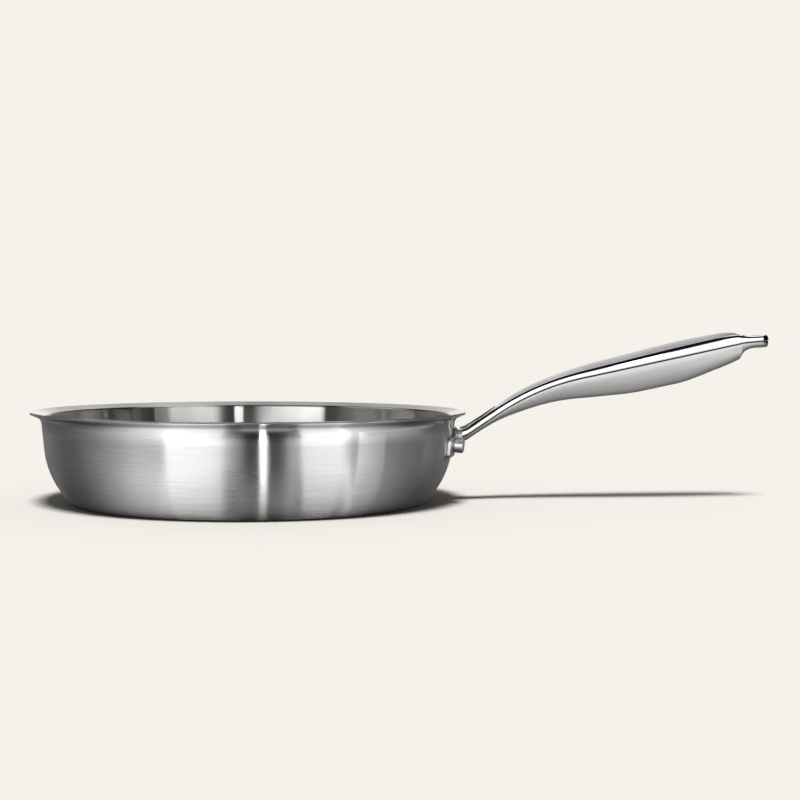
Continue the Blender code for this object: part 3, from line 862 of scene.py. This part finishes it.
def seam_height(reach):
    """Height of the seam line at a reach."""
    if not SEAM:
        SEAM.extend(seam_line())
    for first, second in zip(SEAM, SEAM[1:]):
        if first.x <= reach <= second.x:
            share = (reach - first.x) / max(second.x - first.x, 1e-9)
            return first.y + (second.y - first.y) * share
    return SEAM[-1].y


def station_slope(k, column):
    """Slope of one section size at a station, zero at a peak."""
    rows = HANDLE_STATIONS
    if k == 0 or k == len(rows) - 1:
        return 0.0
    before = (rows[k][column] - rows[k - 1][column]) / (rows[k][0] - rows[k - 1][0])
    after = (rows[k + 1][column] - rows[k][column]) / (rows[k + 1][0] - rows[k][0])
    if before * after <= 0:
        return 0.0
    return 2 * before * after / (before + after)


def station_value(k, column, reach):
    """One section size on a smooth curve through the stations that never overshoots."""
    rows = HANDLE_STATIONS
    width = rows[k + 1][0] - rows[k][0]
    t = (reach - rows[k][0]) / width
    rise = (2 * t ** 3 - 3 * t ** 2 + 1) * rows[k][column] + (3 * t ** 2 - 2 * t ** 3) * rows[k + 1][column]
    slopes = (t ** 3 - 2 * t ** 2 + t) * station_slope(k, column)
    slopes += (t ** 3 - t ** 2) * station_slope(k + 1, column)
    return rise + slopes * width


def section_sizes(reach):
    """Half width, edge height, crown and belly depth, with the tab's rounded corners."""
    rows = HANDLE_STATIONS
    values = list(rows[-1][1:])
    if reach <= rows[0][0]:
        values = list(rows[0][1:])
    elif reach <= rows[-1][0]:
        k = min(k for k in range(len(rows) - 1) if reach <= rows[k + 1][0])
        values = [station_value(k, column, reach) for column in range(1, 5)]
    corner = bpy.context.scene.pan_handle.tab_corner
    past = min(corner, max(0.0, reach - (handle_reach() - corner)))
    values[0] -= corner - math.sqrt(corner ** 2 - past ** 2)
    return values


def place_section(reach, ring):
    """Put a section of (across, height) points in the upright plane at a reach."""
    x = wall_reach() + reach
    seam = seam_height(reach)
    return [(x, across, seam + height) for across, height in ring]


def nose_share(reach):
    """How far the upper side keeps its height over the tab's rounded nose."""
    nose = bpy.context.scene.pan_handle.tab_nose
    past = min(1.0, max(0.0, reach - (handle_reach() - nose)) / nose)
    least = 0.1
    return least + (1 - least) * math.sqrt(max(0.0, 1 - past ** 2))


def upper_ring(reach):
    """Section of the upper shell, as points (across, height, satin, seam)."""
    handle = bpy.context.scene.pan_handle
    half, edge, crown, belly = section_sizes(reach)
    edge *= nose_share(reach)
    base = half - handle.edge_bulge
    satin = 1.0 if reach < handle_reach() - handle.tab_run - SATIN_STOP else 0.0
    turn = 0.00035
    side = arc(half - turn, turn, turn, turn, math.radians(-80), math.radians(-6), 5)
    # Nearly flat below, and rolled over into the top; on the stem the flat part is lower
    stem_share = 0.65
    full_crown = 0.006
    swell = 0.00004
    flat = edge * handle.flat_share * min(1.0, stem_share + max(0.0, crown) / full_crown)
    for share in (0.35, 0.7):
        side.append((half + swell * math.sin(math.pi * share), turn + (flat - turn) * share))
    side += arc(base, flat, handle.edge_bulge, edge - flat, 0.0, math.pi / 2, 12)
    top = []
    border = 0.0003
    shares = [1 - border / base, 0.95, 0.9, 0.84, 0.76, 0.66, 0.52, 0.36, 0.18]
    # A round crown on the grip, a flat-bottomed groove on the stem
    power = 2.0 if crown > 0 else 8.0
    rail_start = 0.8
    for share in shares + [0.0] + [-share for share in shares[::-1]]:
        # On the stem the rails beside the groove stay polished
        rail = crown < 0 and abs(share) > rail_start
        top.append((base * share, edge + crown * (1 - abs(share) ** power), 0.0 if rail else satin, 0.0))
    deep = base - handle.seam_depth
    left = [(y, z, 0.0, 0.0) for y, z in side]
    right = [(-y, z, 0.0, 0.0) for y, z in side[::-1]]
    # Points deep in the crease carry "seam" = 1, where the crease is painted near black as painted shade
    return [(deep, 0.0, 0.0, 1.0)] + left + top + right + [(-deep, 0.0, 0.0, 1.0)]


def lower_ring(reach):
    """Section of the lower shell, as points (across, height, satin, seam)."""
    handle = bpy.context.scene.pan_handle
    half, edge, crown, belly = section_sizes(reach)
    width = half - handle.edge_bulge + handle.belly_inset
    deep = half - handle.edge_bulge - handle.seam_depth
    # The crease opens downwards and outwards to the top of the skin
    top = 0.0010
    # Points in the crease carry "seam" = 1, where the crease is painted near black as painted shade
    start = [(deep, -0.0002, 0.0, 1.0), (width - 0.0005, -0.0004, 0.0, 1.0)]
    skin = [(y, z, 1.0, 0.0) for y, z in arc(0.0, -top, width, top - belly, 0.0, math.pi, 40)]
    return start + skin + [(-y, z, a, b) for y, z, a, b in start[::-1]]


def handle_places():
    """Reaches of the sections, closer together at the root, at the belly's end and on the tab's corners."""
    scene = bpy.context.scene
    handle = scene.pan_handle
    clearance = 0.0003
    start = scene.pan_bracket.root_length + clearance
    end = handle_reach()
    corner = end - handle.tab_corner
    places = set(arc_values(start, corner, handle.steps))
    belly_end = 0.004
    places.update(arc_values(end - handle.tab_run - belly_end, corner, 60))
    turns = arc_values(0.0, math.radians(84), 20)
    places.update(corner + handle.tab_corner * math.sin(turn) for turn in turns)
    grip_end = end - handle.tab_run - SATIN_STOP
    # Two close sections make the edge of the satin sharp
    step = 0.00005
    places.update((grip_end - step, grip_end + step))
    places.update(station[0] for station in HANDLE_STATIONS if start < station[0] < corner)
    return sorted(places)


def add_shell(name, ring_at):
    """A shell lofted through its rings, with what each point is marked as."""
    rings = [(reach, ring_at(reach)) for reach in handle_places()]
    sections = [place_section(reach, [(point[0], point[1]) for point in ring]) for reach, ring in rings]
    marks = {}
    for label, column in (("satin", 2), ("seam", 3)):
        marks[label] = [[point[column] for point in ring] for reach, ring in rings]
    return loft(name, sections, marks)


def add_hole_cutter():
    """A round cutter with a bevel where it leaves the tab's upper and lower sides."""
    handle = bpy.context.scene.pan_handle
    reach = handle_reach() - handle.hole_from_end
    half, edge, crown, belly = section_sizes(reach)
    radius = handle.hole_diameter / 2
    bevel = handle.hole_bevel
    past = 0.004
    points = [
        (0.0, -belly - past),
        (radius + bevel + past, -belly - past),
        (radius, -belly + bevel),
        (radius, edge - bevel),
        (radius + bevel + past, edge + past),
        (0.0, edge + past),
    ]
    item = turned_piece("hanging_hole", points, turning_tree(), {"Segments": 64})
    place = Vector((wall_reach() + reach, 0.0, seam_height(reach)))
    item.data.transform(Matrix.Translation(place) @ Matrix.Rotation(-handle.tab_slope, 4, "Y"))
    return item


class PAN_OT_add_handle(bpy.types.Operator):
    """Add the two shells of the handle, with the hanging hole through both."""

    bl_idname = "frying_pan.add_handle"
    bl_label = "Add Handle"

    def execute(self, context):
        handle = context.scene.pan_handle
        SEAM.clear()
        cutter = add_hole_cutter()
        shells = (
            ("handle_top", upper_ring, "handle_upper_shell", "polished_steel", "polished and blasted"),
            ("handle_belly", lower_ring, "handle_lower_shell", "satin_steel", "blasted"),
        )
        for name, ring_at, node, slot, finish in shells:
            piece = add_shell(name, ring_at)
            combine(piece, cutter, "DIFFERENCE")
            material = handle_metal(finish + " 304 steel", handle.polished, handle.blasted)
            hand_over(piece, [node], material, 30.0)
        bpy.data.objects.remove(cutter, do_unlink=True)
        return {"FINISHED"}


def first_sight(tree):
    """1 for rays that have met nothing matt on their way, 0 for the light that the floor gathers."""
    path = add_node(tree, "ShaderNodeLightPath").outputs
    return maths(tree, "LESS_THAN", path["Diffuse Depth"], 0.5)


def card_material(name, one_sided):
    """A material that only glows, at a level read from the mesh; a one-sided card is clear from behind."""
    material, tree = new_material(name)
    seen = maths(tree, "MULTIPLY", mesh_value(tree, "level"), first_sight(tree))
    shader = add_node(tree, "ShaderNodeEmission", {"Color": (1.0, 1.0, 1.0, 1.0), "Strength": seen})
    if one_sided:
        side = add_node(tree, "ShaderNodeNewGeometry").outputs["Backfacing"]
        clear = add_node(tree, "ShaderNodeBsdfTransparent").outputs[0]
        shader = add_node(tree, "ShaderNodeMixShader", {0: side, 1: shader.outputs[0], 2: clear})
    finish_material(tree, shader)
    return material


def add_grid_card(name, rows, levels, material):
    """A card from rows of points, with a level of light at each point, that only reflections show."""
    mesh = bpy.data.meshes.new(name)
    count = len(rows[0])
    faces = []
    for r in range(len(rows) - 1):
        for start in range(r * count, (r + 1) * count - 1):
            faces.append((start, start + 1, start + count + 1, start + count))
    mesh.from_pydata([point for row in rows for point in row], [], faces)
    values = mesh.attributes.new("level", "FLOAT", "POINT")
    values.data.foreach_set("value", [value for row in levels for value in row])
    mesh.materials.append(material)
    item = new_object(name, mesh)
    for kind in ("camera", "diffuse", "shadow", "transmission", "volume_scatter"):
        setattr(item, "visible_" + kind, False)


def between(table, value):
    """Value of a table of (place, value) at a place, straight between its rows."""
    if value <= table[0][0]:
        return table[0][1]
    for (x0, y0), (x1, y1) in zip(table, table[1:]):
        if value <= x1:
            return y0 + (y1 - y0) * (value - x0) / max(x1 - x0, 1e-9)
    return table[-1][1]


# Cards of the studio as only the metal sees them, far round the pan: levels by degrees round from the
# camera's side (right positive), and shares of that level by degrees up.
# First the front: a tall softbox on the left, a narrow strip by the camera, a tall softbox on the right,
# and beside each softbox a card that falls away into the dark room.
RING = (
    (
        (
            (-180, 0.14), (-163, 0.25), (-155, 0.21), (-139, 0.15), (-122, 0.13), (-106, 0.18), (-98, 0.26),
            (-89, 0.38), (-81, 0.58), (-72, 0.82), (-64, 1.12), (-55, 1.35), (-47.5, 1.58), (-45.5, 1.88),
            (-38, 1.82), (-29, 1.72), (-21, 1.58), (-15, 1.32), (-13, 1.15), (-12, 0.80), (-9, 0.40),
            (-5, 0.13), (1, 0.02), (7, 0.0),
        ),
        ((-90, 1.0), (-4, 1.0), (2, 0.0)),
    ),
    (
        ((7.5, 0.0), (7.7, 1.0), (11.0, 1.0), (11.2, 0.0)),
        ((-4, 3.1), (2, 0.0)),
    ),
    (
        (
            (11.5, 0.0), (18, 0.02), (22, 0.05), (26, 0.14), (28.6, 0.36), (30, 0.85), (31, 1.40), (33, 1.60),
            (40, 1.70), (49, 1.68), (51.5, 1.70), (55.5, 2.20), (57.6, 2.15), (59.4, 1.40), (66, 1.15),
            (75, 0.90), (83, 0.66), (92, 0.47), (100, 0.33), (108, 0.22), (117, 0.14), (125, 0.13),
            (140, 0.15), (160, 0.17), (180, 0.14),
        ),
        ((-90, 0.85), (-60, 0.9), (-30, 1.0), (-4, 1.0), (2, 0.0)),
    ),
    (
        ((-8, 0.0), (0, 1.0), (24, 1.0), (30, 0.0)),
        ((-70, 0.40), (-58, 0.34), (-45, 0.22), (-30, 0.06), (-18, 0.0), (-12, 0.0)),
    ),
    (
        (
            (-44.5, 0.0), (-43.0, 2.70), (-41.0, 4.60), (-21, 4.80), (-11, 4.40), (-6, 3.00), (-3, 1.80),
            (0, 0.40), (2, 0.0),
        ),
        ((-4, 0.0), (2, 1.0), (15, 1.0), (19, 0.0)),
    ),
    (
        (
            (16.0, 0.0), (18, 0.15), (20, 0.60), (21.5, 1.35), (23, 2.30), (26, 3.20), (31, 3.40), (40, 3.50),
            (51.5, 3.60), (55.5, 0.0),
        ),
        ((-4, 0.0), (2, 1.0), (15, 1.0), (19, 0.0)),
    ),
    (
        (
            (-180, 0.5), (-140, 0.5), (-120, 0.3), (-46, 0.3), (-38, 0.0), (-8, 0.0), (-3, 0.22), (28, 0.22),
            (36, 0.0), (60, 0.0), (63, 0.10), (75, 0.04), (90, 0.08), (104, 0.35), (120, 0.5), (180, 0.5),
        ),
        ((-4, 0.0), (2, 1.0), (12, 1.0), (14, 0.0)),
    ),
    (
        ((7.2, 0.0), (7.4, 1.0), (12.3, 1.0), (12.5, 0.0)),
        ((-4, 0.0), (2, 7.0), (12, 7.0), (14, 0.0)),
    ),
    (
        ((34, 0.0), (40, 1.0), (140, 1.0), (146, 0.0)),
        ((54, 0.0), (58, 1.7), (76, 1.7), (79, 0.0)),
    ),
    (
        ((-122, 0.0), (-114, 1.0), (-66, 1.0), (-58, 0.0)),
        ((24, 0.0), (30, 1.5), (42, 1.5), (47, 0.0)),
    ),
    (
        ((-180, 1.0), (-166, 1.0), (-160, 0.0), (160, 0.0), (166, 1.0), (180, 1.0)),
        ((-2, 0.0), (2, 1.2), (15, 1.2), (45, 1.0), (58, 1.0), (66, 0.0)),
    ),
)


# The floor near the base: radius, shares of the boxes' light on it on the left and on the right, and levels
# between the boxes and in the strip
# Painted shade: the levels fall to nothing towards the base, a contact shadow painted round it
NEAR_FLOOR = (
    (0.000, 0.00, 0.00, 0.00, 0.00),
    (0.104, 0.00, 0.00, 0.00, 0.00),
    (0.112, 0.03, 0.01, 0.01, 0.00),
    (0.115, 0.08, 0.04, 0.03, 0.01),
    (0.118, 0.22, 0.11, 0.08, 0.03),
    (0.121, 0.38, 0.21, 0.15, 0.06),
    (0.124, 0.48, 0.31, 0.22, 0.10),
    (0.127, 0.56, 0.40, 0.29, 0.16),
    (0.131, 0.64, 0.49, 0.37, 0.22),
    (0.138, 0.74, 0.60, 0.45, 0.42),
    (0.147, 0.86, 0.71, 0.46, 0.90),
    (0.160, 0.98, 0.84, 0.38, 1.80),
    (0.175, 1.06, 0.96, 0.24, 2.80),
    (0.200, 1.06, 1.06, 0.10, 3.10),
)


# The photo's camera: place, and turn to the right, downwards and about the line of sight in degrees
CAMERA_PLACE = (0.0512, -1.0474, 0.1098)
CAMERA_TURN = (2.546, 2.371, 0.188)


class PAN_OT_add_studio(bpy.types.Operator):
    """Add the pale floor, the key light, the cards that shape the reflections, and the camera."""

    bl_idname = "frying_pan.add_studio"
    bl_label = "Add Studio"

    def execute(self, context):
        scene = context.scene
        studio = scene.pan_studio
        self.add_floor(studio)
        self.add_key(scene, studio)
        self.add_world(scene, studio)
        self.add_cards()
        self.add_camera(scene, studio)
        scene.view_settings.view_transform = "Standard"
        return {"FINISHED"}

    def add_floor(self, studio):
        mesh = bpy.data.meshes.new("floor")
        corners = ((-1, -1), (1, -1), (1, 1), (-1, 1))
        reach = 60.0
        mesh.from_pydata([(x * reach, y * reach, 0.0) for x, y in corners], [], [(0, 1, 2, 3)])
        floor = new_object("floor", mesh)
        material, tree = new_material("matt painted floor")
        finish_material(tree, add_node(tree, "ShaderNodeBsdfDiffuse", {"Color": linear(studio.floor_colour)}))
        mesh.materials.append(material)
        floor.visible_glossy = False

    def add_key(self, scene, studio):
        light = bpy.data.lights.new("key", "SUN")
        light.energy = math.pi * studio.key_share / math.cos(studio.key_tilt)
        light.angle = studio.key_softness
        item = bpy.data.objects.new("key", light)
        item.rotation_euler = (studio.key_tilt, 0.0, 0.0)
        item.visible_glossy = False
        scene.collection.objects.link(item)

    def add_world(self, scene, studio):
        world = bpy.data.worlds.new("pale room")
        scene.world = world
        world.use_nodes = True
        tree = world.node_tree
        tree.nodes.clear()
        path = add_node(tree, "ShaderNodeLightPath").outputs
        seen = maths(tree, "MAXIMUM", path["Is Camera Ray"], path["Is Glossy Ray"])
        seen = maths(tree, "MAXIMUM", seen, path["Is Transmission Ray"])
        seen = maths(tree, "MULTIPLY", seen, first_sight(tree))
        light = 1.0 - studio.key_share
        fill = add_node(tree, "ShaderNodeBackground", {"Color": (1.0, 1.0, 1.0, 1.0), "Strength": light})
        pale = add_node(tree, "ShaderNodeBackground", {"Color": linear(studio.floor_colour), "Strength": 1.0})
        both = add_node(tree, "ShaderNodeMixShader", {0: seen, 1: fill.outputs[0], 2: pale.outputs[0]})
        add_node(tree, "ShaderNodeOutputWorld", {"Surface": both.outputs[0]})

    def add_cards(self):
        glow = card_material("studio card", False)
        self.add_ring(glow)
        self.add_handle_cards(glow)
        self.add_near_floor(glow)

    def add_ring(self, glow):
        radius = 6.0
        dimmest = 0.01
        columns = set(range(-180, 181, 3))
        heights = set(range(-90, 91, 5))
        for around, upward in RING:
            columns.update(place for place, level in around)
            heights.update(place for place, share in upward)
        rows = []
        levels = []
        for height in sorted(heights):
            flat = radius * math.cos(math.radians(height))
            high = radius * math.sin(math.radians(height))
            turns = [math.radians(place) for place in sorted(columns)]
            rows.append([(flat * math.sin(turn), -flat * math.cos(turn), high) for turn in turns])
            shares = [between(upward, height) for around, upward in RING]
            row = []
            for place in sorted(columns):
                glows = [between(table[0], place) * share for table, share in zip(RING, shares)]
                row.append(sum(glows) + dimmest)
            levels.append(row)
        add_grid_card("studio_ring", rows, levels, glow)

    def add_handle_cards(self, glow):
        # A flat white board stands in front of the handle and follows its seam line, grey below
        reaches = arc_values(0.010, 0.290, 36)
        front = -0.150
        lowest = 0.002
        rows = []
        levels = []
        for drop, level in ((0.0220, 0.0), (0.0218, 1.9), (-0.0260, 1.9), (-0.0360, 1.0), (-0.2000, 0.85)):
            heights = [max(lowest, seam_height(out) + drop) for out in reaches]
            rows.append([(wall_reach() + out, front, height) for out, height in zip(reaches, heights)])
            levels.append([level] * len(reaches))
        add_grid_card("handle_board", rows, levels, card_material("one-sided studio card", True))
        # And a grey one lies on the floor under it
        low = -0.0010
        rows = [[(x, y, low) for x in (0.20, 0.26, 0.32, 0.39)] for y in (-0.120, -0.060, 0.030)]
        add_grid_card("handle_underlay", rows, [[0.8] * 4, [0.65] * 4, [0.4] * 4], glow)
        # A black flag past the end of the handle
        plan = ((0.375, -0.066), (0.395, -0.045), (0.400, 0.0), (0.400, 0.060))
        rows = [[(x, y, z) for x, y in plan] for z in (0.055, 0.160)]
        add_grid_card("end_flag", rows, [[0.004] * 4] * 2, glow)

    def add_near_floor(self, glow):
        # The floor close round the base, as the wall above it sees it, with a painted contact shadow where it
        # meets the base
        left, strip, right, middle = (table[0] for table in RING[:4])
        turns = arc_values(-180.0, 180.0, 720)
        height = -0.0005
        dimmest = 0.004
        lean = 1.2
        rows = []
        levels = []
        for out, on_left, on_right, in_middle, in_strip in NEAR_FLOOR:
            spins = [math.radians(t) for t in turns]
            rows.append([(out * math.sin(spin), -out * math.cos(spin), height) for spin in spins])
            # A direction of the ring lies at this part of its angle on the floor, more further out
            spread = 0.574 + 1.35 * (out - 0.12)
            row = []
            for t in turns:
                place = max(-180.0, min(180.0, (t - lean) / spread))
                level = between(left, place) * on_left + between(right, place) * on_right
                level += between(middle, place) * in_middle + between(strip, place) * in_strip
                row.append(level + dimmest)
            levels.append(row)
        add_grid_card("near_floor", rows, levels, glow)

    def add_camera(self, scene, studio):
        camera = bpy.data.cameras.new("camera")
        camera.lens = studio.lens
        camera.sensor_width = 36.0
        camera.clip_end = 200.0
        yaw, pitch, roll = (math.radians(value) for value in CAMERA_TURN)
        forward = Vector((math.sin(yaw) * math.cos(pitch), math.cos(yaw) * math.cos(pitch), -math.sin(pitch)))
        level = Vector((math.cos(yaw), -math.sin(yaw), 0.0))
        upright = level.cross(forward)
        right = level * math.cos(roll) + upright * math.sin(roll)
        up = upright * math.cos(roll) - level * math.sin(roll)
        item = bpy.data.objects.new("camera", camera)
        turn = Matrix((right, up, -forward)).transposed().to_4x4()
        item.matrix_world = Matrix.Translation(CAMERA_PLACE) @ turn
        scene.collection.objects.link(item)
        scene.camera = item


class PAN_PT_sidebar(bpy.types.Panel):
    """Buttons and sizes of the pan in the 3D view's sidebar."""

    bl_label = "Frying Pan"
    bl_idname = "PAN_PT_sidebar"
    bl_space_type = "VIEW_3D"
    bl_region_type = "UI"
    bl_category = "Frying Pan"

    def draw(self, context):
        layout = self.layout
        for operator in OPERATORS:
            layout.operator(operator.bl_idname)
        for name, group in GROUPS:
            box = layout.box()
            box.label(text=group.__doc__)
            settings = getattr(context.scene, name)
            for key in group.__annotations__:
                box.prop(settings, key)


OPERATORS = (PAN_OT_add_bowl, PAN_OT_add_bracket, PAN_OT_add_rivets, PAN_OT_add_handle, PAN_OT_add_studio)
GROUPS = (
    ("pan_bowl", PanBowlSettings),
    ("pan_bracket", PanBracketSettings),
    ("pan_rivets", PanRivetSettings),
    ("pan_handle", PanHandleSettings),
    ("pan_studio", PanStudioSettings),
)


def register():
    for name, group in GROUPS:
        bpy.utils.register_class(group)
        setattr(bpy.types.Scene, name, PointerProperty(type=group))
    for operator in OPERATORS:
        bpy.utils.register_class(operator)
    bpy.utils.register_class(PAN_PT_sidebar)


def unregister():
    bpy.utils.unregister_class(PAN_PT_sidebar)
    for operator in reversed(OPERATORS):
        bpy.utils.unregister_class(operator)
    for name, group in reversed(GROUPS):
        delattr(bpy.types.Scene, name)
        bpy.utils.unregister_class(group)


def main():
    """Build the pan and its studio."""
    register()
    bpy.ops.frying_pan.add_bowl()
    bpy.ops.frying_pan.add_bracket()
    bpy.ops.frying_pan.add_rivets()
    bpy.ops.frying_pan.add_handle()
    bpy.ops.frying_pan.add_studio()


if __name__ == "__main__":
    main()
